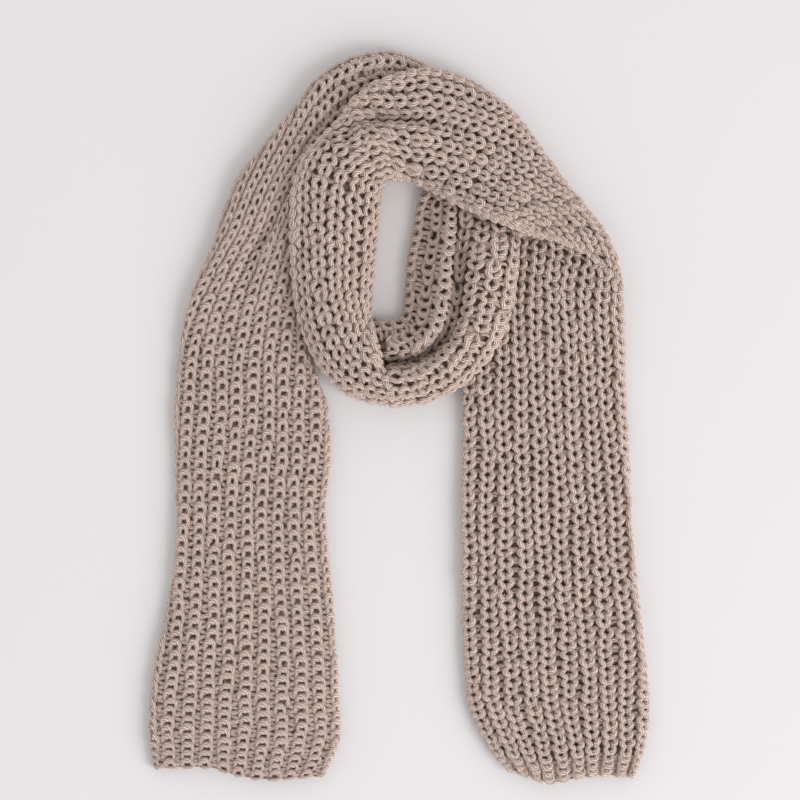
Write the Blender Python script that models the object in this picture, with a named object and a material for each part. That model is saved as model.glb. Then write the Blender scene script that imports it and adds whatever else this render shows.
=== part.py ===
"""A chunky rib-knit scarf, wound once and laid out on a table.

The scarf is one long knitted strip. From the end of its left tail it runs up, over the back of the neck,
down the right of the neck opening, round below it, up its left side, across the front of the neck above
everything else, over the right shoulder and down the right tail. Each stretch of that way is one solid.

A stretch is a skin over sections that stand across the strip. A section has the strip's outer edge, its
inner edge (the one nearer the neck opening), the height of the cloth between them, and the ribs that show.
Lengths are in millimetres, and they become metres where a mesh is made.

Places are given on the laying table, x to the right and y down from the table's upper left corner.
The object's own frame has its origin on the table, in the middle of the scarf's box, with y up the table.
"""

import math
from collections import namedtuple

import bmesh
import bpy
import numpy as np
from mathutils import Vector
from mathutils.bvhtree import BVHTree

MM = 0.001
TABLE_MIDDLE = (399.0, 418.5)

CLOTH = 8.5  # one layer of the knit, between its flat back and the valleys of its ribs
RIB_RAISE = 2.4  # from a valley to the crest of a rib
RIB_FADE = 0.4  # the ribs fade over this share of the lift where the cloth meets what it lies on
FURROW_WIDTH = 6.5  # from the bottom of a crease to where it is nearly out
SEAM_GAP = 0.3  # between two stretches that follow each other
LAYER_GAP = 0.5  # between a stretch and what it lies on
BED_REACH = 15.0  # how far round a point the layers below are felt
HIGH_ABOVE = 200.0  # where the feelers for the layers below start
LIP_ROUND = 12.0  # length over which a fold drops to what it ends on
HEM_ROUND = 5.0  # the same for the cast-on and cast-off edges
HEM_HEIGHT = 4.0
LIP_BOW = 12.5
LIP_WIDTH = 118.0
WAVE_REACH = 40.0  # length over which the waviness of an edge dies out

TOP_POINTS = 46  # points over a section, from table to table
UNDER_POINTS = 11  # points under it
TAIL_STEP = 29.0  # between the sections of a tail
LOOP_STEP = 13.0  # between the sections elsewhere
LEAST_STEP = 0.5
ROUND_SHARES = (0.12, 0.4, 1.0)  # where sections stand along a rounded end
RIM_POINTS = 11  # for a rim's outline, before it is made even
CREST_POINTS = 60  # for the cloth between its rims, likewise

YARN_COLOUR = (0.55, 0.46, 0.41, 1.0)

STEPS = np.linspace(0.0, 1.0, 7)

# One section. Its heights stand at seven even steps from the outer edge to the inner edge. A crease is a
# furrow along the strip: the share of the width where it lies, and its depth. The ribs are numbered across
# the strip, a valley at each whole number, and those between first_rib and last_rib show. Where the strip
# turns, they run off under its edges.
Section = namedtuple(
    "Section",
    "stretch outer_x outer_y inner_x inner_y heights crease_at crease_deep first_rib last_rib",
)

LEFT_AND_NECK = [
    Section("tail_left", 154, 766, 325, 774, (8, 10, 11, 11, 11, 10, 8), 0.5, 0, 0.0, 11.0),
    Section("tail_left", 150, 735, 339, 736, (8, 10, 11, 12, 11, 10, 8), 0.5, 0, 0.0, 11.0),
    Section("tail_left", 152, 700, 338, 700, (9, 10, 11, 11, 11, 11, 9), 0.5, 0, 0.0, 11.0),
    Section("tail_left", 157, 660, 336, 660, (9, 12, 11, 11, 11, 11, 9), 0.5, 0, 0.0, 11.0),
    Section("tail_left", 167, 615, 333, 615, (9, 12, 12, 11, 11, 11, 9), 0.5, 0, 0.2, 11.1),
    Section("tail_left", 175, 560, 328, 560, (9, 11, 12, 11, 11, 12, 9), 0.5, 0, 0.5, 11.1),
    Section("tail_left", 177, 510, 325, 510, (9, 11, 12, 12, 11, 12, 10), 0.5, 0, 0.4, 11.2),
    Section("tail_left", 177, 455, 330, 458, (9, 11, 12, 12, 12, 12, 10), 0.5, 0, 0.3, 11.2),
    Section("tail_left", 176, 405, 327, 408, (9, 11, 12, 13, 13, 13, 10), 0.5, 0, 0.0, 10.9),
    Section("tail_left", 181, 355, 311, 358, (10, 12, 13, 14, 14, 13, 10), 0.5, 0, 0.0, 9.9),
    Section("shoulder_left", 189, 305, 304, 306, (11, 13, 14, 15, 15, 14, 10), 0.5, 0, -0.7, 9.2),
    Section("shoulder_left", 207, 262, 305, 266, (12, 14, 15, 15, 17, 16, 10), 0.45, 4, -1.4, 8.9),
    Section("shoulder_left", 222, 221, 310, 238, (12, 15, 16, 16, 20, 17, 10), 0.55, 5, -2.3, 9.0),
    Section("shoulder_left", 237, 182, 318, 214, (12, 15, 17, 20, 22, 15, 10), 0.60, 4, -2.4, 8.7),
    Section("shoulder_left", 262, 149, 330, 193, (13, 16, 18, 20, 17, 11, 10), 0.5, 0, -1.5, 8.0),
    Section("neck_back", 289, 116, 343, 176, (14, 17, 18, 17, 11, 10, 10), 0.5, 0, -0.5, 7.2),
    Section("neck_back", 318, 80, 358, 164, (15, 18, 18, 14, 10, 10, 10), 0.5, 0, 0.0, 7.0),
    Section("neck_back", 354, 59, 378, 157, (16, 18, 16, 11, 10, 10, 10), 0.5, 0, 0.0, 7.2),
    Section("neck_back", 393, 54, 401, 154, (16, 17, 12, 10, 10, 10, 10), 0.5, 0, 0.0, 7.5),
    Section("neck_back", 427, 67, 419, 156, (13, 11, 10, 10, 10, 10, 10), 0.5, 0, 0.0, 7.6),
    Section("neck_back", 462, 97, 430, 163, (10, 10, 10, 10, 10, 10, 9), 0.5, 0, 0.1, 7.9),
    Section("neck_back", 492, 136, 430, 174, (10, 10, 10, 10, 10, 10, 9), 0.5, 0, 0.2, 8.2),
    Section("loop_right", 510, 178, 427, 186, (10, 12, 13, 12, 13, 10, 9), 0.54, 1, 0.2, 8.3),
    Section("loop_right", 517, 215, 419, 204, (15, 20, 21, 19, 19, 11, 9), 0.58, 6, 0.2, 8.2),
    Section("loop_right", 518, 248, 413, 236, (20, 29, 31, 26, 26, 11, 9), 0.56, 11, 0.2, 8.1),
    Section("loop_right", 516, 275, 408, 266, (21, 31, 34, 28, 28, 12, 9), 0.53, 14, 0.1, 8.0),
    Section("loop_bottom", 511, 306, 406, 292, (21, 31, 34, 28, 28, 13, 9), 0.51, 15, 0.1, 8.0),
    Section("loop_bottom", 502, 335, 405, 308, (21, 31, 33, 27, 28, 15, 9), 0.50, 16, 0.1, 8.0),
    Section("loop_bottom", 484, 364, 403, 316, (21, 30, 33, 27, 28, 16, 9), 0.50, 17, 0.2, 8.0),
    Section("loop_bottom", 458, 388, 398, 320, (21, 30, 33, 26, 27, 17, 9), 0.50, 17, 0.3, 8.1),
    Section("loop_bottom", 427, 402, 389, 321, (21, 30, 33, 26, 25, 17, 9), 0.50, 16, 0.4, 8.2),
    Section("loop_bottom", 395, 406, 371, 322, (21, 30, 33, 24, 22, 16, 9), 0.52, 14, 0.4, 8.2),
]

LEFT_OF_NECK_AND_FRONT = [
    Section("loop_left", 395, 406, 371, 322, (21, 30, 34, 35, 34, 29, 19), 0.5, 0, 2.4, 10.2),
    Section("loop_left", 367, 402, 371, 320, (21, 30, 34, 36, 35, 30, 20), 0.5, 0, 2.4, 10.2),
    Section("loop_left", 339, 388, 371, 316, (21, 30, 34, 36, 35, 30, 20), 0.5, 0, 2.4, 10.2),
    Section("loop_left", 316, 360, 371, 308, (21, 30, 34, 36, 35, 30, 20), 0.5, 0, 2.4, 10.2),
    Section("loop_left", 302, 328, 372, 295, (21, 30, 34, 36, 35, 29, 20), 0.5, 0, 2.4, 10.3),
    Section("loop_left", 295, 292, 373, 277, (21, 30, 34, 36, 34, 29, 20), 0.5, 0, 2.3, 10.4),
    Section("loop_left", 292, 252, 376, 250, (21, 30, 34, 35, 34, 29, 20), 0.5, 0, 2.3, 10.4),
    Section("loop_left", 292, 212, 378, 222, (22, 30, 34, 35, 34, 29, 20), 0.5, 0, 2.3, 10.4),
    Section("loop_left", 297, 177, 380, 199, (23, 31, 34, 35, 33, 29, 20), 0.5, 0, 2.3, 10.5),
    Section("loop_left", 309, 152, 382, 189, (24, 31, 34, 35, 33, 28, 20), 0.5, 0, 2.3, 10.5),
    Section("neck_front", 326, 135, 385, 184, (24, 31, 34, 34, 33, 28, 20), 0.5, 0, 2.2, 10.5),
    Section("neck_front", 340, 121, 389, 182, (23, 28, 33, 34, 32, 28, 20), 0.14, 9, 1.8, 10.5),
    Section("neck_front", 352, 103, 394, 181, (23, 26, 30, 34, 32, 28, 20), 0.27, 13, 0.9, 10.4),
    Section("neck_front", 370, 88, 400, 181, (22, 25, 28, 33, 32, 28, 20), 0.36, 13, 0.0, 10.0),
    Section("neck_front", 397, 77, 406, 181, (21, 25, 27, 32, 32, 28, 20), 0.43, 11, -0.8, 9.8),
    Section("neck_front", 428, 71, 414, 184, (20, 25, 27, 31, 32, 28, 20), 0.46, 8, -0.9, 9.7),
    Section("neck_front", 460, 79, 428, 191, (19, 24, 27, 29, 31, 28, 21), 0.46, 4, -0.9, 10.3),
    Section("neck_front", 489, 94, 444, 199, (18, 23, 26, 28, 30, 30, 22), 0.45, 1, -0.7, 10.8),
    Section("shoulder_right", 517, 118, 461, 208, (17, 22, 25, 27, 29, 31, 24), 0.5, 0, 0.1, 11.2),
    Section("shoulder_right", 543, 153, 478, 216, (16, 21, 24, 26, 28, 31, 26), 0.5, 0, 1.3, 11.3),
    Section("shoulder_right", 568, 187, 494, 223, (15, 20, 23, 25, 27, 30, 27), 0.5, 0, 2.6, 11.3),
    Section("shoulder_right", 590, 213, 507, 228, (15, 19, 22, 24, 26, 29, 27), 0.5, 0, 3.2, 11.4),
    Section("shoulder_right", 607, 237, 513, 231, (14, 17, 21, 23, 25, 28, 27), 0.5, 0, 3.3, 11.5),
    Section("shoulder_right", 617, 262, 516, 233, (14, 16, 20, 22, 25, 28, 27), 0.5, 0, 3.2, 11.6),
    Section("shoulder_right", 622, 290, 518, 234, (14, 15, 19, 22, 25, 28, 27), 0.5, 0, 3.1, 11.6),
]

RIGHT_TAIL = [
    Section("tail_right", 622, 290, 470, 208, (14, 14, 12, 11, 10, 9, 9), 0.5, 0, -0.6, 10.1),
    Section("tail_right", 623, 318, 468, 262, (11, 13, 13, 12, 10, 9, 9), 0.5, 0, -0.6, 10.1),
    Section("tail_right", 623, 352, 465, 325, (10, 12, 12, 12, 10, 9, 9), 0.5, 0, -0.3, 10.2),
    Section("tail_right", 624, 395, 462, 390, (9, 11, 12, 12, 11, 10, 9), 0.5, 0, -0.2, 10.4),
    Section("tail_right", 627, 445, 463, 445, (9, 11, 12, 12, 12, 11, 9), 0.5, 0, -0.1, 10.4),
    Section("tail_right", 630, 500, 461, 500, (9, 11, 12, 12, 12, 11, 9), 0.5, 0, 0.1, 10.4),
    Section("tail_right", 634, 555, 461, 555, (9, 11, 12, 12, 12, 11, 9), 0.5, 0, 0.1, 10.4),
    Section("tail_right", 640, 615, 463, 612, (9, 11, 12, 12, 11, 11, 9), 0.5, 0, 0.1, 10.3),
    Section("tail_right", 645, 660, 465, 662, (9, 11, 12, 11, 11, 11, 9), 0.5, 0, 0.0, 10.3),
    Section("tail_right", 647, 700, 470, 706, (8, 11, 11, 11, 11, 11, 9), 0.5, 0, -0.1, 10.3),
    Section("tail_right", 644, 742, 486, 743, (8, 10, 11, 11, 11, 10, 9), 0.5, 0, -0.1, 10.4),
    Section("tail_right", 634, 775, 506, 770, (8, 10, 11, 11, 11, 10, 8), 0.5, 0, -0.2, 10.4),
]


def lip_bow(across, width):
    """The fold on the right shoulder bows back over the shoulder, from the strip's outer edge inwards."""
    return -LIP_BOW * np.sin(math.pi * np.clip(across / LIP_WIDTH, 0, 1))


def tail_left_hem(across, width):
    return smooth_through(STEPS, (0, 1, 2, -5, -7, -4, 0), np.clip(across / width, 0, 1))


def tail_right_hem(across, width):
    return smooth_through(STEPS, (0, 0, 1, 6, 10, 4, -2), np.clip(across / width, 0, 1))


def straight(across, width):
    return np.zeros(len(across))


# A run is a table of sections with one skin. An end that shows is rounded off: over the length of its
# round it drops to the heights that it lands on. An end's wave moves it forth or back along the strip.
Run = namedtuple("Run", "sections start_wave starts_on start_round end_wave ends_on end_round")

HEM = (HEM_HEIGHT,) * 7
BESIDE_LOOP_BOTTOM = (21, 30, 33, 24, 22, 16, 9)
ON_RIGHT_TAIL = (14, 14, 13, 12, 11, 11, 20)
RUNS = {
    "right": Run(RIGHT_TAIL, lip_bow, None, 0.0, tail_right_hem, HEM, HEM_ROUND),
    "left": Run(LEFT_AND_NECK, tail_left_hem, HEM, HEM_ROUND, straight, None, 0.0),
    "front": Run(
        LEFT_OF_NECK_AND_FRONT, straight, BESIDE_LOOP_BOTTOM, LIP_ROUND, lip_bow, ON_RIGHT_TAIL, LIP_ROUND
    ),
}

# Each stretch, in the order in which it is laid, with what lies under it.
LAID = [
    ("right", "tail_right", ()),
    ("left", "tail_left", ()),
    ("left", "shoulder_left", ()),
    ("left", "neck_back", ()),
    ("left", "loop_right", ("tail_right",)),
    ("left", "loop_bottom", ("tail_right",)),
    ("front", "loop_left", ("tail_left", "shoulder_left", "neck_back")),
    ("front", "neck_front", ("shoulder_left", "neck_back", "loop_right")),
    ("front", "shoulder_right", ("neck_back", "loop_right")),
]


def smooth_through(knots, values, at):
    """A curve through the values at the knots, read at the places asked for."""
    knots, values, at = (np.asarray(a, float) for a in (knots, values, at))
    slopes = np.gradient(values, knots, axis=0)
    i = np.clip(np.searchsorted(knots, at, side="right") - 1, 0, len(knots) - 2)
    span = knots[i + 1] - knots[i]
    t = np.clip((at - knots[i]) / span, 0.0, 1.0)
    if values.ndim > 1:
        span, t = span[:, None], t[:, None]
    rest = 1.0 - t
    return (
        values[i] * (1 + 2 * t) * rest**2
        + values[i + 1] * (3 - 2 * t) * t**2
        + span * (slopes[i] * t * rest**2 - slopes[i + 1] * rest * t**2)
    )


class Strip:
    """The sections of a run, with every value smooth along its middle line."""

    def __init__(self, run):
        self.run = run
        table = np.array([s[1:5] + s.heights + s[6:] for s in run.sections], float)
        middle = (table[:, 0:2] + table[:, 2:4]) / 2
        self.table = table
        self.knots = np.concatenate([[0.0], np.cumsum(np.linalg.norm(np.diff(middle, axis=0), axis=1))])

    def span(self, stretch):
        """Where a stretch starts and ends along the middle line, and whether those are the run's ends."""
        rows = [i for i, s in enumerate(self.run.sections) if s.stretch == stretch]
        first, last = rows[0], min(rows[-1] + 1, len(self.knots) - 1)
        return self.knots[first], self.knots[last], first == 0, last == len(self.knots) - 1

    def settings(self, along):
        """A section's two edges, its seven heights, crease and ribs, with folds and hems rounded off."""
        row = smooth_through(self.knots, self.table, [along])[0]
        heights = row[4:11].copy()
        ends = (
            (along, self.run.starts_on, self.run.start_round),
            (self.knots[-1] - along, self.run.ends_on, self.run.end_round),
        )
        crease_deep = row[12]
        for away, landing, length in ends:
            if landing is not None and away < length:
                risen = math.sqrt(max(0.0, 1 - (1 - away / length) ** 2))
                landing = np.array(landing, float)
                heights = landing + (heights - landing) * risen
                crease_deep *= risen
        return row[0:2], row[2:4], heights, row[11], crease_deep, row[13], row[14]

    def wave(self, along, across, width):
        """How far a point is moved along the strip by the waves of the run's ends."""
        moved = np.zeros(len(across))
        ends = ((along, self.run.start_wave), (self.knots[-1] - along, self.run.end_wave))
        for away, wave in ends:
            if away < WAVE_REACH:
                moved += (1 - away / WAVE_REACH) ** 2 * wave(across, width)
        return moved


def height_at(share, heights, crease_at, crease_deep, width):
    """The cloth's height above the table, across a section."""
    furrow = np.exp(-(((share - crease_at) * width / FURROW_WIDTH) ** 2))
    return smooth_through(STEPS, heights, share) - crease_deep * furrow


def contour(width, heights, crease_at, crease_deep):
    """Even points over a section: each one's place across, and its lift, 0 at the bed and 1 on top."""
    rim_outer = min(heights[0] / 2, width / 5)
    rim_inner = min(heights[6] / 2, width / 5)
    turn = np.radians(np.linspace(-90, 90, RIM_POINTS))
    across = np.concatenate(
        [
            rim_outer * (1 - np.cos(turn)),
            np.linspace(rim_outer, width - rim_inner, CREST_POINTS + 2)[1:-1],
            width - rim_inner * (1 - np.cos(turn[::-1])),
        ]
    )
    lift = np.concatenate([(1 + np.sin(turn)) / 2, np.ones(CREST_POINTS), (1 + np.sin(turn[::-1])) / 2])
    height = lift * height_at(across / width, heights, crease_at, crease_deep, width)
    steps = np.hypot(np.diff(across), np.diff(height))
    arc = np.concatenate([[0.0], np.cumsum(steps)])
    even = np.linspace(0.0, arc[-1], TOP_POINTS)
    return np.interp(even, arc, across), np.interp(even, arc, lift)


def bed_height(trees, x, y):
    """The height that a stretch lies at over a point: the table, or the highest layer near the point."""
    highest = 0.0
    rings = ((0.0, 1), (BED_REACH / 2, 8), (BED_REACH, 14))
    for tree in trees:
        for radius, count in rings:
            for k in range(count):
                angle = 2 * math.pi * k / count
                above = Vector((x + radius * math.cos(angle), y + radius * math.sin(angle), HIGH_ABOVE))
                place = tree.ray_cast(above, Vector((0, 0, -1)))[0]
                if place is not None:
                    highest = max(highest, place.z + LAYER_GAP)
    return highest


def ring(strip, along, shift, trees):
    """The points round one section: over the cloth from the outer edge to the inner one, and back below."""
    outer, inner, heights, crease_at, crease_deep, first_rib, last_rib = strip.settings(along)
    width = float(np.linalg.norm(inner - outer))
    inward = (inner - outer) / width
    forward = np.array([inward[1], -inward[0]])
    across, lift = contour(width, heights, crease_at, crease_deep)
    under = np.linspace(across[-1], across[0], UNDER_POINTS + 2)[1:-1]
    places = np.concatenate([across, under])
    n = len(across)

    def on_table():
        moved = shift + strip.wave(along, places, width)
        plan = outer + np.outer(places, inward) + np.outer(moved, forward)
        return plan[:, 0] - TABLE_MIDDLE[0], TABLE_MIDDLE[1] - plan[:, 1]

    bed = np.array([bed_height(trees, x, y) for x, y in zip(*on_table())])
    top = np.maximum(height_at(across / width, heights, crease_at, crease_deep, width), bed[:n] + CLOTH)
    z = bed.copy()
    z[:n] += lift * (top - bed[:n])
    # The ribs stand out along the section's own normal, and fade where the cloth meets the table.
    tangent = np.stack([np.gradient(across), np.gradient(z[:n])], axis=1)
    tangent /= np.maximum(np.linalg.norm(tangent, axis=1), 1e-9)[:, None]
    rib = first_rib + (last_rib - first_rib) * np.linspace(0, 1, n)
    raised = RIB_RAISE * (np.abs(np.sin(math.pi * rib)) - 0.5) * np.clip(lift / RIB_FADE, 0, 1)
    places[:n] -= raised * tangent[:, 1]
    z[:n] += raised * tangent[:, 0]
    return np.stack([*on_table(), np.maximum(z, bed)], axis=1)


def section_places(start, end, step, start_round, end_round):
    """Where the sections of a stretch stand: even steps, and closer ones where an end is rounded off."""
    places = list(np.linspace(start, end, max(2, math.ceil((end - start) / step) + 1)))
    for share in ROUND_SHARES:
        if start_round:
            places.append(start + share * start_round)
        if end_round:
            places.append(end - share * end_round)
    kept = [start]
    for place in sorted(places):
        if place - kept[-1] > LEAST_STEP and end - place > LEAST_STEP:
            kept.append(place)
    return kept + [end]


def close_end(mesh, row):
    """An upright wall over the end of a skin, in triangles between the points over and under the cloth."""
    over = row[:TOP_POINTS]
    under = [row[0]] + row[:TOP_POINTS - 1:-1] + [over[-1]]
    inward = over[-1].co - over[0].co
    i = j = 0
    while i < len(over) - 1 or j < len(under) - 1:
        over_first = i < len(over) - 1 and (
            j == len(under) - 1 or over[i + 1].co.dot(inward) < under[j + 1].co.dot(inward)
        )
        nearest = over[i + 1] if over_first else under[j + 1]
        corners = {over[i], under[j], nearest}
        if len(corners) == 3:
            mesh.faces.new((over[i], under[j], nearest))
        i, j = (i + 1, j) if over_first else (i, j + 1)


def skin(rings):
    """A closed mesh over the rings."""
    mesh = bmesh.new()
    rows = [[mesh.verts.new(Vector(p) * MM) for p in points] for points in rings]
    for here, there in zip(rows, rows[1:]):
        for j in range(len(here)):
            k = (j + 1) % len(here)
            mesh.faces.new((here[j], here[k], there[k], there[j]))
    close_end(mesh, rows[0])
    close_end(mesh, rows[-1])
    bmesh.ops.triangulate(mesh, faces=mesh.faces[:])
    bmesh.ops.recalc_face_normals(mesh, faces=mesh.faces[:])
    return mesh


def knit_material():
    material = bpy.data.materials.new("knit_yarn")
    material.use_nodes = True
    surface = material.node_tree.nodes["Principled BSDF"]
    surface.inputs["Base Color"].default_value = YARN_COLOUR
    surface.inputs["Roughness"].default_value = 0.9
    surface.inputs["Metallic"].default_value = 0.0
    return material


def lay_stretch(strip, name, below, material):
    """One stretch of the scarf as an object, laid on the stretches below it."""
    start, end, at_run_start, at_run_end = strip.span(name)
    step = TAIL_STEP if name.startswith("tail") else LOOP_STEP
    start_round = strip.run.start_round if at_run_start else 0.0
    end_round = strip.run.end_round if at_run_end else 0.0
    places = section_places(start, end, step, start_round, end_round)
    rings = []
    for i, along in enumerate(places):
        # Half of the seam's gap is taken off each end.
        shift = SEAM_GAP / 2 * ((i == 0) - (i == len(places) - 1))
        rings.append(ring(strip, along, shift, below))
    shape = skin(rings)
    mesh = bpy.data.meshes.new(name)
    shape.to_mesh(mesh)
    shape.free()
    mesh.materials.append(material)
    mesh.shade_smooth()
    mesh.set_sharp_from_angle(angle=math.radians(50))
    stretch = bpy.data.objects.new(name, mesh)
    bpy.context.scene.collection.objects.link(stretch)
    return stretch


def tree_of(stretch):
    """The stretch's surface in millimetres, for what is laid on it."""
    corners = [v.co / MM for v in stretch.data.vertices]
    return BVHTree.FromPolygons(corners, [tuple(p.vertices) for p in stretch.data.polygons])


def main():
    for old in list(bpy.data.objects):
        bpy.data.objects.remove(old)
    material = knit_material()
    strips = {name: Strip(run) for name, run in RUNS.items()}
    trees = {}
    for run_name, name, below in LAID:
        stretch = lay_stretch(strips[run_name], name, [trees[n] for n in below], material)
        trees[name] = tree_of(stretch)


main()
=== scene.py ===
"""Looks of a chunky rib-knit scarf, wound once and laid out flat: real yarn, stitch by stitch.

Every stretch of the scarf gets a thin ground cloth on the form of its solid, and its knit stitches as
yarn over that ground. The form is worked out from the same sections as the solids, in millimetres on
the laying table, and becomes metres where a mesh is made.
"""

import math
from collections import namedtuple

import bpy
import numpy as np
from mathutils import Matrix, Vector
from mathutils.bvhtree import BVHTree


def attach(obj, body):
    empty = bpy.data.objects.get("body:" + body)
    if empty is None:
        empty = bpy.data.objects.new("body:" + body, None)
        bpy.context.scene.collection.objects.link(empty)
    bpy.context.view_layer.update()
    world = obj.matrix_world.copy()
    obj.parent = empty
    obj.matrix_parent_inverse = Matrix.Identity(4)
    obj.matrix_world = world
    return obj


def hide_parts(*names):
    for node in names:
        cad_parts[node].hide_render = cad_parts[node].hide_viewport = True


bl_info = {
    "name": "Rib-knit scarf",
    "version": (1, 0, 0),
    "blender": (4, 5, 0),
    "location": "View3D > Sidebar > Scarf",
    "description": "Knits a chunky ribbed scarf over its solids and sets it on a studio floor",
    "category": "Object",
}

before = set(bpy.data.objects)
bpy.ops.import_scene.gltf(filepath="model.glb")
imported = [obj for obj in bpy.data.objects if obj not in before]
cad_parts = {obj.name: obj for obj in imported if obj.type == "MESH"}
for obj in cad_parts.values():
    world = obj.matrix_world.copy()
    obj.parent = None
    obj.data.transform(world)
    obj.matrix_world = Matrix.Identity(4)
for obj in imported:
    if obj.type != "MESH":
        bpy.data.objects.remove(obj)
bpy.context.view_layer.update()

MM = 0.001

# The layout on the table, as in the solids.
TABLE_MIDDLE = (399.0, 418.5)
CLOTH = 8.5  # one layer of the knit
LAYER_GAP = 0.5
BED_RINGS = ((0.0, 1), (7.5, 8), (15.0, 14))  # radius and number of places where the layer below is felt
HIGH_ABOVE = 200.0
LIP_ROUND = 12.0  # the length along the strip over which a fold's lip rises
LIP_BOW = 12.5
LIP_WIDTH = 118.0
HEM_ROUND = 5.0
HEM_HEIGHT = 4.0
WAVE_REACH = 40.0  # how far the wave of an end is felt along the strip
FURROW_WIDTH = 6.5
STEPS = np.linspace(0.0, 1.0, 7)  # where a section's heights stand, from rim to rim

# How finely the layout is worked out.
RIM_POINTS = 13
CREST_POINTS = 80
ACROSS_POINTS = 72
END_PLACES = np.array([0.0, 0.15, 0.5, 1.0, 1.7, 2.6, 3.7])  # the rows close to an end
FIRST_STEP, LAST_STEP = 5.0, 4.9  # from a run's ends to its even rows
ALONG_STEP = 4.0
RIB_STEP = 0.5
COURSE_STEP = 0.1

# One section across the strip, as in the solids: where its rims lie, its heights, the ribs that its
# rims cut, the length of a course there, and where its crease is and how deep.
Section = namedtuple(
    "Section",
    "stretch outer_x outer_y inner_x inner_y heights first_rib last_rib course crease_at crease_deep",
    defaults=(0.5, 0),
)
FIRST_RIB, LAST_RIB, COURSE, CREASE_AT, CREASE_DEEP = range(11, 16)  # columns of a run's table
HEIGHTS = slice(4, 11)


def sections(stretch, *rows):
    """The sections of one stretch, in the order of the strip's way."""
    return [Section(stretch, *row) for row in rows]


TAIL_LEFT = sections(
    "tail_left",
    (154, 766, 325, 774, (8, 10, 11, 11, 11, 10, 8), 0.0, 11.0, 6.5),
    (150, 735, 339, 736, (8, 10, 11, 12, 11, 10, 8), 0.0, 11.0, 8.8),
    (152, 700, 338, 700, (9, 10, 11, 11, 11, 11, 9), 0.0, 11.0, 9.0),
    (157, 660, 336, 660, (9, 12, 11, 11, 11, 11, 9), 0.0, 11.0, 10.0),
    (167, 615, 333, 615, (9, 12, 12, 11, 11, 11, 9), 0.2, 11.1, 10.4),
    (175, 560, 328, 560, (9, 11, 12, 11, 11, 12, 9), 0.5, 11.1, 10.5),
    (177, 510, 325, 510, (9, 11, 12, 12, 11, 12, 10), 0.4, 11.2, 11.0),
    (177, 455, 330, 458, (9, 11, 12, 12, 12, 12, 10), 0.3, 11.2, 11.2),
    (176, 405, 327, 408, (9, 11, 12, 13, 13, 13, 10), 0.0, 10.9, 11.3),
    (181, 355, 311, 358, (10, 12, 13, 14, 14, 13, 10), 0.0, 9.9, 11.3),
)

SHOULDER_LEFT = sections(
    "shoulder_left",
    (189, 305, 304, 306, (11, 13, 14, 15, 15, 14, 10), -0.7, 9.2, 11.0),
    (207, 262, 305, 266, (12, 14, 15, 15, 17, 16, 10), -1.4, 8.9, 10.6, 0.45, 4),
    (222, 221, 310, 238, (12, 15, 16, 16, 20, 17, 10), -2.3, 9.0, 11.0, 0.55, 5),
    (237, 182, 318, 214, (12, 15, 17, 20, 22, 15, 10), -2.4, 8.7, 11.0, 0.6, 4),
    (262, 149, 330, 193, (13, 16, 18, 20, 17, 11, 10), -1.5, 8.0, 10.6),
)

NECK_BACK = sections(
    "neck_back",
    (289, 116, 343, 176, (14, 17, 18, 17, 11, 10, 10), -0.5, 7.2, 10.6),
    (318, 80, 358, 164, (15, 18, 18, 14, 10, 10, 10), 0.0, 7.0, 10.6),
    (354, 59, 378, 157, (16, 18, 16, 11, 10, 10, 10), 0.0, 7.2, 10.6),
    (393, 54, 401, 154, (16, 17, 12, 10, 10, 10, 10), 0.0, 7.5, 10.6),
    (427, 67, 419, 156, (13, 11, 10, 10, 10, 10, 10), 0.0, 7.6, 10.6),
    (462, 97, 430, 163, (10, 10, 10, 10, 10, 10, 9), 0.1, 7.9, 10.5),
    (492, 136, 430, 174, (10, 10, 10, 10, 10, 10, 9), 0.2, 8.2, 10.5),
)

LOOP_RIGHT = sections(
    "loop_right",
    (510, 178, 427, 186, (10, 12, 13, 12, 13, 10, 9), 0.2, 8.3, 10.4, 0.54, 1),
    (517, 215, 419, 204, (15, 20, 21, 19, 19, 11, 9), 0.2, 8.2, 10.4, 0.58, 6),
    (518, 248, 413, 236, (20, 29, 31, 26, 26, 11, 9), 0.2, 8.1, 10.4, 0.56, 11),
    (516, 275, 408, 266, (21, 31, 34, 28, 28, 12, 9), 0.1, 8.0, 10.4, 0.53, 14),
)

LOOP_BOTTOM = sections(
    "loop_bottom",
    (511, 306, 406, 292, (21, 31, 34, 28, 28, 13, 9), 0.1, 8.0, 10.4, 0.51, 15),
    (502, 335, 405, 308, (21, 31, 33, 27, 28, 15, 9), 0.1, 8.0, 10.4, 0.5, 16),
    (484, 364, 403, 316, (21, 30, 33, 27, 28, 16, 9), 0.2, 8.0, 10.4, 0.5, 17),
    (458, 388, 398, 320, (21, 30, 33, 26, 27, 17, 9), 0.3, 8.1, 10.6, 0.5, 17),
    (427, 402, 389, 321, (21, 30, 33, 26, 25, 17, 9), 0.4, 8.2, 11.0, 0.5, 16),
    (395, 406, 371, 322, (21, 30, 33, 24, 22, 16, 9), 0.4, 8.2, 11.6, 0.52, 14),
)

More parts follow.
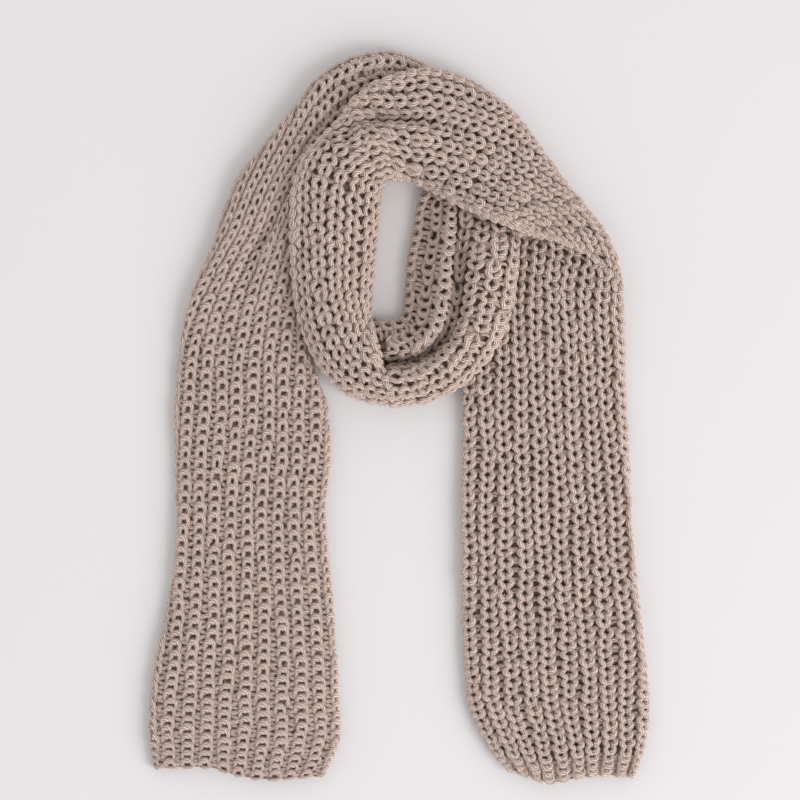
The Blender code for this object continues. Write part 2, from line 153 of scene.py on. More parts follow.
LOOP_LEFT = sections(
    "loop_left",
    (395, 406, 371, 322, (21, 30, 34, 35, 34, 29, 19), 2.4, 10.2, 11.6),
    (367, 402, 371, 320, (21, 30, 34, 36, 35, 30, 20), 2.4, 10.2, 11.6),
    (339, 388, 371, 316, (21, 30, 34, 36, 35, 30, 20), 2.4, 10.2, 11.6),
    (316, 360, 371, 308, (21, 30, 34, 36, 35, 30, 20), 2.4, 10.2, 11.6),
    (302, 328, 372, 295, (21, 30, 34, 36, 35, 29, 20), 2.4, 10.3, 11.6),
    (295, 292, 373, 277, (21, 30, 34, 36, 34, 29, 20), 2.3, 10.4, 11.6),
    (292, 252, 376, 250, (21, 30, 34, 35, 34, 29, 20), 2.3, 10.4, 11.6),
    (292, 212, 378, 222, (22, 30, 34, 35, 34, 29, 20), 2.3, 10.4, 11.6),
    (297, 177, 380, 199, (23, 31, 34, 35, 33, 29, 20), 2.3, 10.5, 11.6),
    (309, 152, 382, 189, (24, 31, 34, 35, 33, 28, 20), 2.3, 10.5, 11.6),
)

NECK_FRONT = sections(
    "neck_front",
    (326, 135, 385, 184, (24, 31, 34, 34, 33, 28, 20), 2.2, 10.5, 11.6),
    (340, 121, 389, 182, (23, 28, 33, 34, 32, 28, 20), 1.8, 10.5, 11.8, 0.14, 9),
    (352, 103, 394, 181, (23, 26, 30, 34, 32, 28, 20), 0.9, 10.4, 12.0, 0.27, 13),
    (370, 88, 400, 181, (22, 25, 28, 33, 32, 28, 20), 0.0, 10.0, 12.2, 0.36, 13),
    (397, 77, 406, 181, (21, 25, 27, 32, 32, 28, 20), -0.8, 9.8, 12.4, 0.43, 11),
    (428, 71, 414, 184, (20, 25, 27, 31, 32, 28, 20), -0.9, 9.7, 12.5, 0.46, 8),
    (460, 79, 428, 191, (19, 24, 27, 29, 31, 28, 21), -0.9, 10.3, 12.0, 0.46, 4),
    (489, 94, 444, 199, (18, 23, 26, 28, 30, 30, 22), -0.7, 10.8, 10.8, 0.45, 1),
)

SHOULDER_RIGHT = sections(
    "shoulder_right",
    (517, 118, 461, 208, (17, 22, 25, 27, 29, 31, 24), 0.1, 11.2, 9.8),
    (543, 153, 478, 216, (16, 21, 24, 26, 28, 31, 26), 1.3, 11.3, 9.2),
    (568, 187, 494, 223, (15, 20, 23, 25, 27, 30, 27), 2.6, 11.3, 8.8),
    (590, 213, 507, 228, (15, 19, 22, 24, 26, 29, 27), 3.2, 11.4, 8.8),
    (607, 237, 513, 231, (14, 17, 21, 23, 25, 28, 27), 3.3, 11.5, 9.4),
    (617, 262, 516, 233, (14, 16, 20, 22, 25, 28, 27), 3.2, 11.6, 10.0),
    (622, 290, 518, 234, (14, 15, 19, 22, 25, 28, 27), 3.1, 11.6, 10.4),
)

TAIL_RIGHT = sections(
    "tail_right",
    (622, 290, 470, 208, (14, 14, 12, 11, 10, 9, 9), -0.6, 10.1, 11.0),
    (623, 318, 468, 262, (11, 13, 13, 12, 10, 9, 9), -0.6, 10.1, 10.8),
    (623, 352, 465, 325, (10, 12, 12, 12, 10, 9, 9), -0.3, 10.2, 10.8),
    (624, 395, 462, 390, (9, 11, 12, 12, 11, 10, 9), -0.2, 10.4, 10.8),
    (627, 445, 463, 445, (9, 11, 12, 12, 12, 11, 9), -0.1, 10.4, 10.7),
    (630, 500, 461, 500, (9, 11, 12, 12, 12, 11, 9), 0.1, 10.4, 10.5),
    (634, 555, 461, 555, (9, 11, 12, 12, 12, 11, 9), 0.1, 10.4, 10.4),
    (640, 615, 463, 612, (9, 11, 12, 12, 11, 11, 9), 0.1, 10.3, 10.2),
    (645, 660, 465, 662, (9, 11, 12, 11, 11, 11, 9), 0.0, 10.3, 9.3),
    (647, 700, 470, 706, (8, 11, 11, 11, 11, 11, 9), -0.1, 10.3, 8.9),
    (644, 742, 486, 743, (8, 10, 11, 11, 11, 10, 9), -0.1, 10.4, 8.5),
    (634, 775, 506, 770, (8, 10, 11, 11, 11, 10, 8), -0.2, 10.4, 5.6),
)

# How a stretch is knitted: the strand's radius, how far its stitches open, from narrow at 0 to wide
# at 1, how proud the strands in the valleys between the ribs lie, and what the stretch lies on.
Knit = namedtuple("Knit", "strand open valley below")
KNITS = {
    "tail_right": Knit(2.85, 1.0, 0.0, ()),
    "tail_left": Knit(2.45, 0.0, 1.2, ()),
    "shoulder_left": Knit(2.45, 0.1, 0.9, ()),
    "neck_back": Knit(2.8, 0.5, 0.5, ()),
    "loop_right": Knit(2.8, 0.9, 0.1, ("tail_right",)),
    "loop_bottom": Knit(2.85, 0.9, 0.1, ("tail_right",)),
    "loop_left": Knit(2.9, 1.0, 0.0, ("tail_left", "shoulder_left", "neck_back")),
    "neck_front": Knit(2.85, 1.0, 0.0, ("shoulder_left", "neck_back", "loop_right")),
    "shoulder_right": Knit(2.7, 1.0, 0.0, ("neck_back", "loop_right")),
}
# Inside the crease of these stretches the cloth is a tongue, pulled narrow.
TONGUE = ("loop_right", "loop_bottom")
TONGUE_KNIT = (2.60, 0.3, 0.9)
TONGUE_FADE = 0.04
CREASE_BARE = 0.05  # how far from the bottom of that crease its strands are out of sight

HEM_REACH = 28.0  # how far up from a hem the knit is tighter
HEM_STRAND = 0.8  # the strand at a hem, against the strand further up
HEM_LOOPS_IN = 0.3  # courses from a hem to its row of loops
EYELETS = 3.6  # courses from the right tail's hem to the middle of its row of eyelets
EYELET_REACH = 0.6


def smooth_through(knots, values, at):
    """A curve through the values at the knots, read at the places asked for."""
    knots, values, at = (np.asarray(a, float) for a in (knots, values, at))
    slopes = np.gradient(values, knots, axis=0)
    i = np.clip(np.searchsorted(knots, at, side="right") - 1, 0, len(knots) - 2)
    span = knots[i + 1] - knots[i]
    t = np.clip((at - knots[i]) / span, 0.0, 1.0)
    if values.ndim > 1:
        span, t = span[:, None], t[:, None]
    rest = 1.0 - t
    return (
        values[i] * (1 + 2 * t) * rest**2
        + values[i + 1] * (3 - 2 * t) * t**2
        + span * (slopes[i] * t * rest**2 - slopes[i + 1] * rest * t**2)
    )


def unit(vectors):
    return vectors / np.maximum(np.linalg.norm(vectors, axis=-1), 1e-9)[..., None]


def lip_bow(across, width):
    return -LIP_BOW * np.sin(math.pi * np.clip(across / LIP_WIDTH, 0, 1))


def tail_left_hem(across, width):
    return smooth_through(STEPS, (0, 1, 2, -5, -7, -4, 0), np.clip(across / width, 0, 1))


def tail_right_hem(across, width):
    return smooth_through(STEPS, (0, 0, 1, 6, 10, 4, -2), np.clip(across / width, 0, 1))


def straight(across, width):
    return np.zeros(len(across))


# A run of stretches in one piece: the wave of each of its ends, the heights that the end comes down to
# and over what length, and the row, first or last, in which its courses are level across the cloth.
Run = namedtuple("Run", "sections start_wave starts_on start_round end_wave ends_on end_round level_row")
HEM = (HEM_HEIGHT,) * 7
BESIDE_LOOP = (21, 30, 33, 24, 22, 16, 9)
ON_RIGHT_TAIL = (14, 14, 13, 12, 11, 11, 20)
LEFT_AND_NECK = TAIL_LEFT + SHOULDER_LEFT + NECK_BACK + LOOP_RIGHT + LOOP_BOTTOM
LOOP_AND_FRONT = LOOP_LEFT + NECK_FRONT + SHOULDER_RIGHT
RUNS = [
    Run(TAIL_RIGHT, lip_bow, None, 0.0, tail_right_hem, HEM, HEM_ROUND, -1),
    Run(LEFT_AND_NECK, tail_left_hem, HEM, HEM_ROUND, straight, None, 0.0, 0),
    Run(LOOP_AND_FRONT, straight, BESIDE_LOOP, LIP_ROUND, lip_bow, ON_RIGHT_TAIL, LIP_ROUND, 0),
]


def height_at(share, heights, crease_at, crease_deep, width):
    furrow = np.exp(-(((share - crease_at) * width / FURROW_WIDTH) ** 2))
    return smooth_through(STEPS, heights, share) - crease_deep * furrow


def contour(width, heights, crease_at, crease_deep):
    """Even points over a section: each one's place across, and its lift, 0 at the bed and 1 on top."""
    rim_outer = min(heights[0] / 2, width / 5)
    rim_inner = min(heights[6] / 2, width / 5)
    turn = np.radians(np.linspace(-90, 90, RIM_POINTS))
    across = np.concatenate(
        [
            rim_outer * (1 - np.cos(turn)),
            np.linspace(rim_outer, width - rim_inner, CREST_POINTS + 2)[1:-1],
            width - rim_inner * (1 - np.cos(turn[::-1])),
        ]
    )
    lift = np.concatenate([(1 + np.sin(turn)) / 2, np.ones(CREST_POINTS), (1 + np.sin(turn[::-1])) / 2])
    height = lift * height_at(across / width, heights, crease_at, crease_deep, width)
    arc = np.concatenate([[0.0], np.cumsum(np.hypot(np.diff(across), np.diff(height)))])
    even = np.linspace(0.0, arc[-1], ACROSS_POINTS)
    return np.interp(even, arc, across), np.interp(even, arc, lift)


def bed_height(trees, x, y):
    """The height that a stretch lies at over a point: the table, or the highest layer near the point."""
    highest = 0.0
    for tree in trees:
        for radius, count in BED_RINGS:
            for k in range(count):
                angle = 2 * math.pi * k / count
                above = Vector((x + radius * math.cos(angle), y + radius * math.sin(angle), HIGH_ABOVE))
                place = tree.ray_cast(above * MM, Vector((0, 0, -1)))[0]
                if place is not None:
                    highest = max(highest, place.z / MM + LAYER_GAP)
    return highest


def solid_tree(node):
    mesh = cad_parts[node].data
    faces = [tuple(p.vertices) for p in mesh.polygons]
    return BVHTree.FromPolygons([v.co for v in mesh.vertices], faces)


def between(grid, row, column):
    """A grid's values at places between its rows and its columns."""
    i = np.clip(np.asarray(row).astype(int), 0, grid.shape[0] - 2)
    j = np.clip(np.asarray(column).astype(int), 0, grid.shape[1] - 2)
    s, t = np.clip(row - i, 0, 1), np.clip(column - j, 0, 1)
    if grid.ndim > 2:
        s, t = s[..., None], t[..., None]
    low = grid[i, j] * (1 - t) + grid[i, j + 1] * t
    return low * (1 - s) + (grid[i + 1, j] * (1 - t) + grid[i + 1, j + 1] * t) * s


class Cloth:
    """The laid-out surface of a run, as a grid of points, with its normals, its courses and its ribs."""

    def __init__(self, run, trees):
        self.run = run
        table = np.array([s[1:5] + s.heights + s[6:] for s in run.sections], float)
        middle = (table[:, 0:2] + table[:, 2:4]) / 2
        self.table = table
        self.knots = np.concatenate([[0.0], np.cumsum(np.linalg.norm(np.diff(middle, axis=0), axis=1))])
        self.along = self._places()
        self.stretches = [self._stretch_at(a) for a in self.along]
        below = [[trees[name] for name in KNITS[s].below] for s in self.stretches]
        rows = [self._row(along, solids) for along, solids in zip(self.along, below)]
        self.points, self.beds, self.lifts = (np.array(part) for part in zip(*rows))
        values = smooth_through(self.knots, table, self.along)
        self.first_rib, self.last_rib = values[:, FIRST_RIB], values[:, LAST_RIB]
        self.pitch, self.creases = values[:, COURSE], values[:, CREASE_AT]
        self.rims = values[:, HEIGHTS][:, [0, -1]] * RIM_DEPTH
        self.on_tongue = np.array([s in TONGUE for s in self.stretches], float)
        self.rows = np.arange(len(self.along))
        self.knit = self._knit()
        across = np.gradient(self.points, axis=1)
        forward = np.gradient(self.points, self.along, axis=0)
        self.normals = unit(np.cross(across, forward))
        third = ACROSS_POINTS // 3
        steps = np.linalg.norm(np.diff(self.points, axis=0), axis=2)
        self.lengths = np.concatenate([[0.0], np.cumsum(steps[:, third:-third].mean(axis=1))])
        self._count_courses()

    def _places(self):
        end = self.knots[-1]
        even = np.arange(FIRST_STEP, end - LAST_STEP, ALONG_STEP)
        return np.unique(np.concatenate([END_PLACES, even, end - END_PLACES]))

    def _stretch_at(self, along):
        i = int(np.clip(np.searchsorted(self.knots, along, side="right") - 1, 0, len(self.knots) - 2))
        return self.run.sections[i].stretch

    def _count_courses(self):
        """Courses of one length along every rib, in bends too, and the rows that they lie in."""
        first, last = math.floor(self.first_rib.min()), math.ceil(self.last_rib.max())
        self.ribs = np.arange(first, last + 1, RIB_STEP)
        rows = self.rows[:, None] + np.zeros(len(self.ribs))
        column = np.clip(self.share_of(self.ribs, rows), 0, 1) * (ACROSS_POINTS - 1)
        steps = np.linalg.norm(np.diff(between(self.points, rows, column), axis=0), axis=2)
        pitch = (self.pitch[1:, None] + self.pitch[:-1, None]) / 2
        courses = np.concatenate([np.zeros((1, len(self.ribs))), np.cumsum(steps / pitch, axis=0)])
        level = self.run.level_row
        self.courses = courses - courses[level] + round(courses[level].mean())
        self.fine = np.arange(self.courses.min(), self.courses.max() + COURSE_STEP, COURSE_STEP)
        found = [np.interp(self.fine, counted, self.rows) for counted in self.courses.T]
        self.row_table = np.stack(found, axis=1)

    def course_of(self, rib, row):
        return between(self.courses, row, (rib - self.ribs[0]) / RIB_STEP)

    def row_of(self, rib, course):
        """The row that a course of a rib lies in."""
        course = (course - self.fine[0]) / COURSE_STEP
        return between(self.row_table, course, (rib - self.ribs[0]) / RIB_STEP)

    def _knit(self):
        """The strand, the opening and the valleys of each row, each stretch fading into the next."""
        names = list(dict.fromkeys(self.stretches))
        middles = [np.mean([i for i, s in enumerate(self.stretches) if s == name]) for name in names]
        looks = np.array([KNITS[name][:3] for name in names])
        knit = np.stack([np.interp(self.rows, middles, look) for look in looks.T], axis=1)
        ends = ((self.along, self.run.starts_on), (self.knots[-1] - self.along, self.run.ends_on))
        for away, landing in ends:
            if landing is HEM:
                knit[:, 0] *= HEM_STRAND + (1 - HEM_STRAND) * np.clip(away / HEM_REACH, 0, 1)
                knit[:, 1] *= np.clip(away / HEM_REACH * 2 - 1, 0, 1)
        return knit

    def knit_at(self, rib, row):
        """The strand, the opening and the valleys at a rib in a row."""
        knit = np.stack([np.interp(row, self.rows, self.knit[:, k]) for k in range(3)])
        inside = (self.share_of(rib, row) - np.interp(row, self.rows, self.creases)) / TONGUE_FADE
        tongue = np.interp(row, self.rows, self.on_tongue) * np.clip(inside, 0, 1)
        return knit + (np.array(TONGUE_KNIT)[:, None] - knit) * tongue

    def in_crease(self, rib, row):
        """Whether a place lies at the bottom of the crease beside the tongue."""
        away = abs(self.share_of(rib, row) - np.interp(row, self.rows, self.creases))
        return (np.interp(row, self.rows, self.on_tongue) > 0.5) & (away < CREASE_BARE)

    def _row(self, along, trees):
        row = smooth_through(self.knots, self.table, [along])[0]
        outer, inner, heights = row[0:2], row[2:4], row[HEIGHTS]
        crease_at, crease_deep = row[CREASE_AT], row[CREASE_DEEP]
        ends = (
            (along, self.run.starts_on, self.run.start_round),
            (self.knots[-1] - along, self.run.ends_on, self.run.end_round),
        )
        for away, landing, length in ends:
            if landing is not None and away < length:
                risen = math.sqrt(max(0.0, 1 - (1 - away / length) ** 2))
                heights = np.array(landing) + (heights - np.array(landing)) * risen
                crease_deep = crease_deep * risen
        width = float(np.linalg.norm(inner - outer))
        inward = (inner - outer) / width
        travel = np.array([inward[1], -inward[0]])
        across, lift = contour(width, heights, crease_at, crease_deep)
        moved = np.zeros(len(across))
        waves = ((along, self.run.start_wave), (self.knots[-1] - along, self.run.end_wave))
        for away, wave in waves:
            if away < WAVE_REACH:
                moved += (1 - away / WAVE_REACH) ** 2 * wave(across, width)
        plan = outer + np.outer(across, inward) + np.outer(moved, travel)
        x, y = plan[:, 0] - TABLE_MIDDLE[0], TABLE_MIDDLE[1] - plan[:, 1]
        bed = np.array([bed_height(trees, a, b) for a, b in zip(x, y)]) if trees else np.zeros(len(x))
        top = np.maximum(height_at(across / width, heights, crease_at, crease_deep, width), bed + CLOTH)
        return np.stack([x, y, bed + lift * (top - bed)], axis=1), bed, lift

    def share_of(self, rib, row):
        """How far across a rib lies in a row, from 0 at the outer rim to 1 at the inner rim."""
        first = np.interp(row, self.rows, self.first_rib)
        last = np.interp(row, self.rows, self.last_rib)
        return (rib - first) / (last - first)

    def place(self, rib, row, height):
        """Points over the cloth: at ribs, rows and heights above its surface, with the normals there."""
        column = np.clip(self.share_of(rib, row), 0, 1) * (ACROSS_POINTS - 1)
        normal = unit(between(self.normals, row, column))
        points = between(self.points, row, column) + normal * height[..., None]
        return points, normal, between(self.beds, row, column)


TUBE_SIDES = 6
LEG_STEPS = 10
ARCH_STEPS = 5
UV_LENGTH = 10.0  # millimetres of strand to one unit of the strand's UV map

OPEN_DEPTH = 5.6  # how deep the ground lies under open stitches
NARROW_DEPTH = 3.4
RIM_DEPTH = 0.38  # and at a rim, against the cloth's height there
EDGE_SHARE = 0.14  # how far in from a rim it is at its full depth, against the strip's width
GROUND_THICKNESS = 1.4
GROUND_LIFT = 0.6
WALL_LIFT = 0.5  # where the ground turns upright, by its lift from the bed
BACK_LIFT = 0.4
ACROSS_KEPT = 2
BACK_POINTS = 12
BACK_ROWS = 4

# Half a stitch, from its head over its side to its foot behind the stitch before. The head of an open
# stitch dives under the next one, and that of a narrow stitch lies on top. Each bend: across in ribs,
# along in courses, height in millimetres on the surface, girth against the stretch's strand.
OPEN_LEG = [
    (0.05, 0.62, -5.2, 0.95),
    (0.09, 0.48, -2.6, 1.0),
    (0.17, 0.33, -0.9, 1.0),
    (0.26, 0.19, -0.4, 1.0),
    (0.31, 0.03, -0.5, 1.0),
    (0.285, -0.13, -1.0, 1.0),
    (0.21, -0.28, -1.9, 1.0),
    (0.15, -0.46, -3.5, 1.0),
    (0.1, -0.66, -4.2, 0.95),
    (0.0, -0.8, -3.6, 0.9),
]
NARROW_LEG = [
    (0.0, 0.33, -1.2, 1.55),
    (0.08, 0.32, -1.0, 1.5),
    (0.17, 0.26, -0.6, 1.25),
    (0.24, 0.13, -0.6, 0.98),
    (0.27, -0.02, -0.8, 0.88),
    (0.27, -0.19, -1.0, 0.88),
    (0.265, -0.36, -1.4, 0.92),
    (0.25, -0.53, -2.1, 0.95),
    (0.2, -0.7, -3.6, 0.95),
    (0.1, -0.84, -5.0, 0.9),
]
# The two strands that tie neighbouring ribs together in the valley between them, arch over arch.
DEEP_ARCH = [
    (-0.32, -0.12, -5.4, 0.9),
    (-0.2, -0.32, -4.3, 0.9),
    (0.0, -0.42, -3.8, 0.9),
    (0.2, -0.32, -4.3, 0.9),
    (0.32, -0.12, -5.4, 0.9),
]
TOP_ARCH = [
    (-0.3, 0.06, -4.6, 0.6),
    (-0.16, -0.12, -3.2, 0.6),
    (0.0, -0.2, -2.6, 0.6),
    (0.16, -0.12, -3.2, 0.6),
    (0.3, 0.06, -4.6, 0.6),
]
NARROW_DEEP_ARCH = [
    (-0.34, -0.22, -5.0, 0.9),
    (-0.18, -0.28, -4.3, 1.0),
    (0.0, -0.28, -4.1, 1.05),
    (0.18, -0.18, -4.3, 1.0),
    (0.34, -0.06, -5.0, 0.9),
]
NARROW_TOP_ARCH = [
    (-0.3, 0.54, -4.8, 0.75),
    (-0.16, 0.42, -4.1, 0.85),
    (0.0, 0.28, -3.8, 0.9),
    (0.16, 0.16, -4.1, 0.85),
    (0.3, 0.1, -4.8, 0.75),
]
# The loops along a hem, one to a rib.
HEM_LOOP = [
    (-0.58, 0.6, -4.6, 0.9),
    (-0.38, 0.08, -2.6, 0.95),
    (-0.18, -0.22, -1.2, 1.0),
    (0.0, -0.28, -1.0, 1.0),
    (0.18, -0.22, -1.2, 1.0),
    (0.38, 0.08, -2.6, 0.95),
    (0.58, 0.6, -4.6, 0.9),
]
ARCH_LIFT = 1.4
UNDERSIDE = 0.01  # the share of the width at a rim that has no stitches
HEM_COURSES = 0.5  # how near a hem its row of loops takes a stitch's place

# How far stitches stray: their place in ribs and in courses, their length and width, their height in
# millimetres and their girth.
Stray = namedtuple("Stray", "rib course length width height girth")
STRAY = Stray(0.035, 0.055, 0.06, 0.10, 0.3, 0.05)
WAVER = 0.05  # how far a rib sways, in ribs
WAVER_ALONG, WAVER_ACROSS = 0.4, 1.9  # the sway's angle to a course and to a rib


def bends(table, steps):
    """A table of bends as a smooth line: its places across and along, its heights and its girths."""
    values = np.array(table, float)
    line = smooth_through(np.arange(len(values)), values, np.linspace(0, len(values) - 1, steps + 1))
    return line.T


def tubes(paths, ups, radii):
    """A closed tube round each path: the points, the quads, and the strand's UV at their corners."""
    count, steps = paths.shape[:2]
    tangent = unit(np.gradient(paths, axis=1))
    side = unit(np.cross(tangent, ups))
    up = np.cross(side, tangent)
    turn = 2 * math.pi * np.arange(TUBE_SIDES) / TUBE_SIDES
    ring = side[:, :, None] * np.cos(turn)[:, None] + up[:, :, None] * np.sin(turn)[:, None]
    points = paths[:, :, None] + ring * radii[:, :, None, None]
    length = np.linalg.norm(np.diff(paths, axis=1), axis=2).cumsum(axis=1)
    length = np.concatenate([np.zeros((count, 1)), length], axis=1) / UV_LENGTH

    i, j = np.meshgrid(np.arange(steps - 1), np.arange(TUBE_SIDES), indexing="ij")
    corners = [(i, j), (i + 1, j), (i + 1, j + 1), (i, j + 1)]
    wall = np.stack([a * TUBE_SIDES + b % TUBE_SIDES for a, b in corners], axis=-1).reshape(-1, 4)
    fan = np.array([(0, k, k + 1, k + 2) for k in range(1, TUBE_SIDES - 1, 2)])
    last = (steps - 1) * TUBE_SIDES + fan[:, ::-1]
    quads = np.concatenate([wall, fan, last])
    all_quads = quads + (np.arange(count) * steps * TUBE_SIDES)[:, None, None]

    along = np.stack([length[:, a] for a, _ in corners], axis=-1).reshape(count, -1, 4)
    around = np.stack([b / TUBE_SIDES for _, b in corners], axis=-1).reshape(-1, 4)
    uv = np.zeros((count, len(quads), 4, 2))
    uv[:, : len(wall), :, 0] = along
    uv[:, : len(wall), :, 1] = around
    uv[:, len(wall) + len(fan) :, :, 0] = length[:, -1, None, None]
    return points.reshape(-1, 3), all_quads.reshape(-1, 4), uv.reshape(-1, 2)


def mesh_piece(name, points, quads, uv, material):
    """A piece from points in millimetres, its quads and the UV of their corners."""
    mesh = bpy.data.meshes.new(name)
    mesh.from_pydata((points * MM).tolist(), [], quads.tolist())
    mesh.uv_layers.new(name="strand").data.foreach_set("uv", uv.ravel())
    mesh.polygons.foreach_set("use_smooth", [True] * len(quads))
    mesh.materials.append(material)
    piece = bpy.data.objects.new(name, mesh)
    bpy.context.collection.objects.link(piece)
    return piece


def rows_of(cloth, stretch):
    """The first row of a stretch, and its last, which is also the next stretch's first."""
    rows = [i for i, s in enumerate(cloth.stretches) if s == stretch]
    return rows[0], min(rows[-1] + 1, len(cloth.stretches) - 1)


def stitch_places(cloth, stretch, columns_at):
    """The rib, the course and the row of each stitch of a stretch, those on the underside left out."""
    start, end = rows_of(cloth, stretch)
    part = slice(start, end + 1)
    courses = np.arange(math.ceil(cloth.courses.min()), math.floor(cloth.courses.max()) + 1)
    low = math.floor(cloth.first_rib[part].min()) - 1
    high = math.ceil(cloth.last_rib[part].max()) + 1
    grid = np.meshgrid(np.arange(low, high) + columns_at, courses)
    ribs, courses = (values.ravel().astype(float) for values in grid)
    rows = cloth.row_of(ribs, courses)
    share = cloth.share_of(ribs, rows)
    inside = (rows >= start) & ((rows < end) | (end == cloth.rows[-1]))
    reached = abs(cloth.course_of(ribs, rows) - courses) < COURSE_STEP
    hems = [end for end, on in ((0, cloth.run.starts_on), (-1, cloth.run.ends_on)) if on is HEM]
    for hem in hems:
        reached &= abs(courses - cloth.courses[hem, 0]) > HEM_COURSES
    shows = inside & reached & (share > UNDERSIDE) & (share < 1 - UNDERSIDE)
    return ribs[shows], courses[shows], rows[shows]


def strands(cloth, ribs, courses, line, radius, settings, chance):
    """Strands that follow a line at each stitch: their paths, the ways up there and their radii."""
    across, along, height, girth = line
    count = len(ribs)

    def stray(size):
        return chance.normal(0.0, size * settings.unevenness, count)[:, None]

    waver = WAVER * settings.unevenness * np.sin(WAVER_ALONG * courses + WAVER_ACROSS * ribs)
    ribs = (ribs + waver)[:, None] + stray(STRAY.rib)
    courses = courses[:, None] + stray(STRAY.course) + along * (1 + stray(STRAY.length))
    rows = cloth.row_of(ribs, courses)
    ribs = ribs + across * (1 + stray(STRAY.width))
    heights = height + stray(STRAY.height) + np.zeros_like(ribs)
    paths, ups, beds = cloth.place(ribs, rows, heights)
    girths = girth * settings.thickness * (1 + stray(STRAY.girth))
    thick = radius[:, None] * girths * np.ones_like(ribs)
    paths[..., 2] = np.maximum(paths[..., 2], beds + thick)
    return paths, ups, thick


def strand_piece(name, made, material):
    """One piece from several lots of strands."""
    parts = [tubes(*lot) for lot in made]
    points = np.concatenate([p for p, _, _ in parts])
    starts = np.cumsum([0] + [len(p) for p, _, _ in parts[:-1]])
    quads = np.concatenate([q + s for (_, q, _), s in zip(parts, starts)])
    uv = np.concatenate([u for _, _, u in parts])
    return mesh_piece(name, points, quads, uv, material)


def blend(wide, narrow, opened, steps):
    """Two tables of bends as one line a stitch, by how far each stitch opens."""
    wide, narrow = (np.array(bends(table, steps))[:, None] for table in (wide, narrow))
    return narrow + (wide - narrow) * opened[:, None]


def knit_yarn(cloth, stretch, settings, material):
    """The stitches of the ribs and the strands in the valleys between them, as two pieces."""
    seed = settings.seed + sum(map(ord, stretch))
    ribs, courses, rows = stitch_places(cloth, stretch, 0.5)
    strand, opened, _ = cloth.knit_at(ribs, rows)
    across, along, height, girth = blend(OPEN_LEG, NARROW_LEG, opened, LEG_STEPS)
    made = []
    for way in (-1, 1):
        line = (way * across, along, height, girth)
        made.append(strands(cloth, ribs, courses, line, strand, settings, np.random.default_rng(seed)))
    arches = []
    chance = np.random.default_rng(seed + 1)
    ribs, courses, rows = stitch_places(cloth, stretch, 0.0)
    tied = ~cloth.in_crease(ribs, rows)
    if cloth.run.ends_on is HEM:
        tied &= abs(abs(courses - cloth.courses[-1, 0]) - EYELETS) > EYELET_REACH
    ribs, courses, rows = ribs[tied], courses[tied], rows[tied]
    strand, opened, valley = cloth.knit_at(ribs, rows)
    for wide, narrow in ((DEEP_ARCH, NARROW_DEEP_ARCH), (TOP_ARCH, NARROW_TOP_ARCH)):
        across, along, height, girth = blend(wide, narrow, opened, ARCH_STEPS)
        line = (across, along, height + ARCH_LIFT * valley[:, None], girth)
        arches.append(strands(cloth, ribs, courses, line, strand, settings, chance))
    return [
        strand_piece(f"ribs_{stretch}", made, material),
        strand_piece(f"valleys_{stretch}", arches, material),
    ]


def hem_yarn(cloth, stretch, settings, material):
    """The row of loops that binds the free end of a tail."""
    chance = np.random.default_rng(settings.seed + sum(map(ord, stretch)))
    starts = cloth.run.starts_on is HEM
    row, way = (0, 1) if starts else (cloth.rows[-1], -1)
    ribs = np.arange(math.ceil(cloth.first_rib[row]), math.floor(cloth.last_rib[row])) + 0.5
    courses = np.full(len(ribs), cloth.courses[row, 0] + HEM_LOOPS_IN * way)
    across, along, height, girth = bends(HEM_LOOP, LEG_STEPS)
    line = (across, way * along, height, girth)
    strand = cloth.knit_at(ribs, np.full(len(ribs), float(row)))[0]
    lot = strands(cloth, ribs, courses, line, strand, settings, chance)
    return strand_piece(f"hem_{stretch}", [lot], material)


def grid_piece(name, grid, inwards, uv, material):
    """A closed sheet: its outside on a grid of points, its inside as far inwards as asked for."""
    rows, columns = grid.shape[:2]
    index = np.arange(rows * columns).reshape(rows, columns)
    corners = (index[:-1, :-1], index[:-1, 1:], index[1:, 1:], index[1:, :-1])
    outside = np.stack(corners, axis=-1).reshape(-1, 4)
    edge = np.concatenate([index[0], index[1:, -1], index[-1, -2::-1], index[-2::-1, 0]])
    rim = np.stack([edge[1:], edge[:-1], edge[:-1] + index.size, edge[1:] + index.size], axis=-1)
    quads = np.concatenate([outside, outside[:, ::-1] + index.size, rim])
    points = np.concatenate([grid.reshape(-1, 3), (grid + inwards).reshape(-1, 3)])
    uv = np.concatenate([uv.reshape(-1, 2)] * 2)[quads]
    return mesh_piece(name, points, quads, uv.reshape(-1, 2), material)


def ground_grid(cloth, part):
    """The ground under the yarn: the surface moved inwards, and upright at its two outer rims."""
    lifts, beds = cloth.lifts[part], cloth.beds[part]
    deep = NARROW_DEPTH + (OPEN_DEPTH - NARROW_DEPTH) * cloth.knit[part, 1:2]
    rims = np.minimum(cloth.rims[part], deep)
    place = np.linspace(0, 1, ACROSS_POINTS)
    into = np.clip(np.minimum(place, 1 - place) / EDGE_SHARE, 0, 1)
    edge = np.where(place < 0.5, rims[:, :1], rims[:, 1:])
    depth = edge + (deep - edge) * into
    ground = cloth.points[part] - cloth.normals[part] * depth[..., None]
    half = ACROSS_POINTS // 2
    walls = []
    for row in range(len(ground)):
        outer = int(np.argmax(lifts[row] >= WALL_LIFT))
        inner = ACROSS_POINTS - 1 - int(np.argmax(lifts[row][::-1] >= WALL_LIFT))
        assert outer < half < inner
        walls.append((outer, inner))
        for edge_at, wall in ((outer, range(outer)), (inner, range(ACROSS_POINTS - 1, inner, -1))):
            foot = beds[row, edge_at] + GROUND_LIFT
            for step, j in enumerate(wall):
                ground[row, j, :2] = ground[row, edge_at, :2]
                ground[row, j, 2] = foot + (ground[row, edge_at, 2] - foot) * step / len(wall)
    ground[..., 2] = np.maximum(ground[..., 2], beds + GROUND_LIFT)
    return ground, beds, np.array(walls)


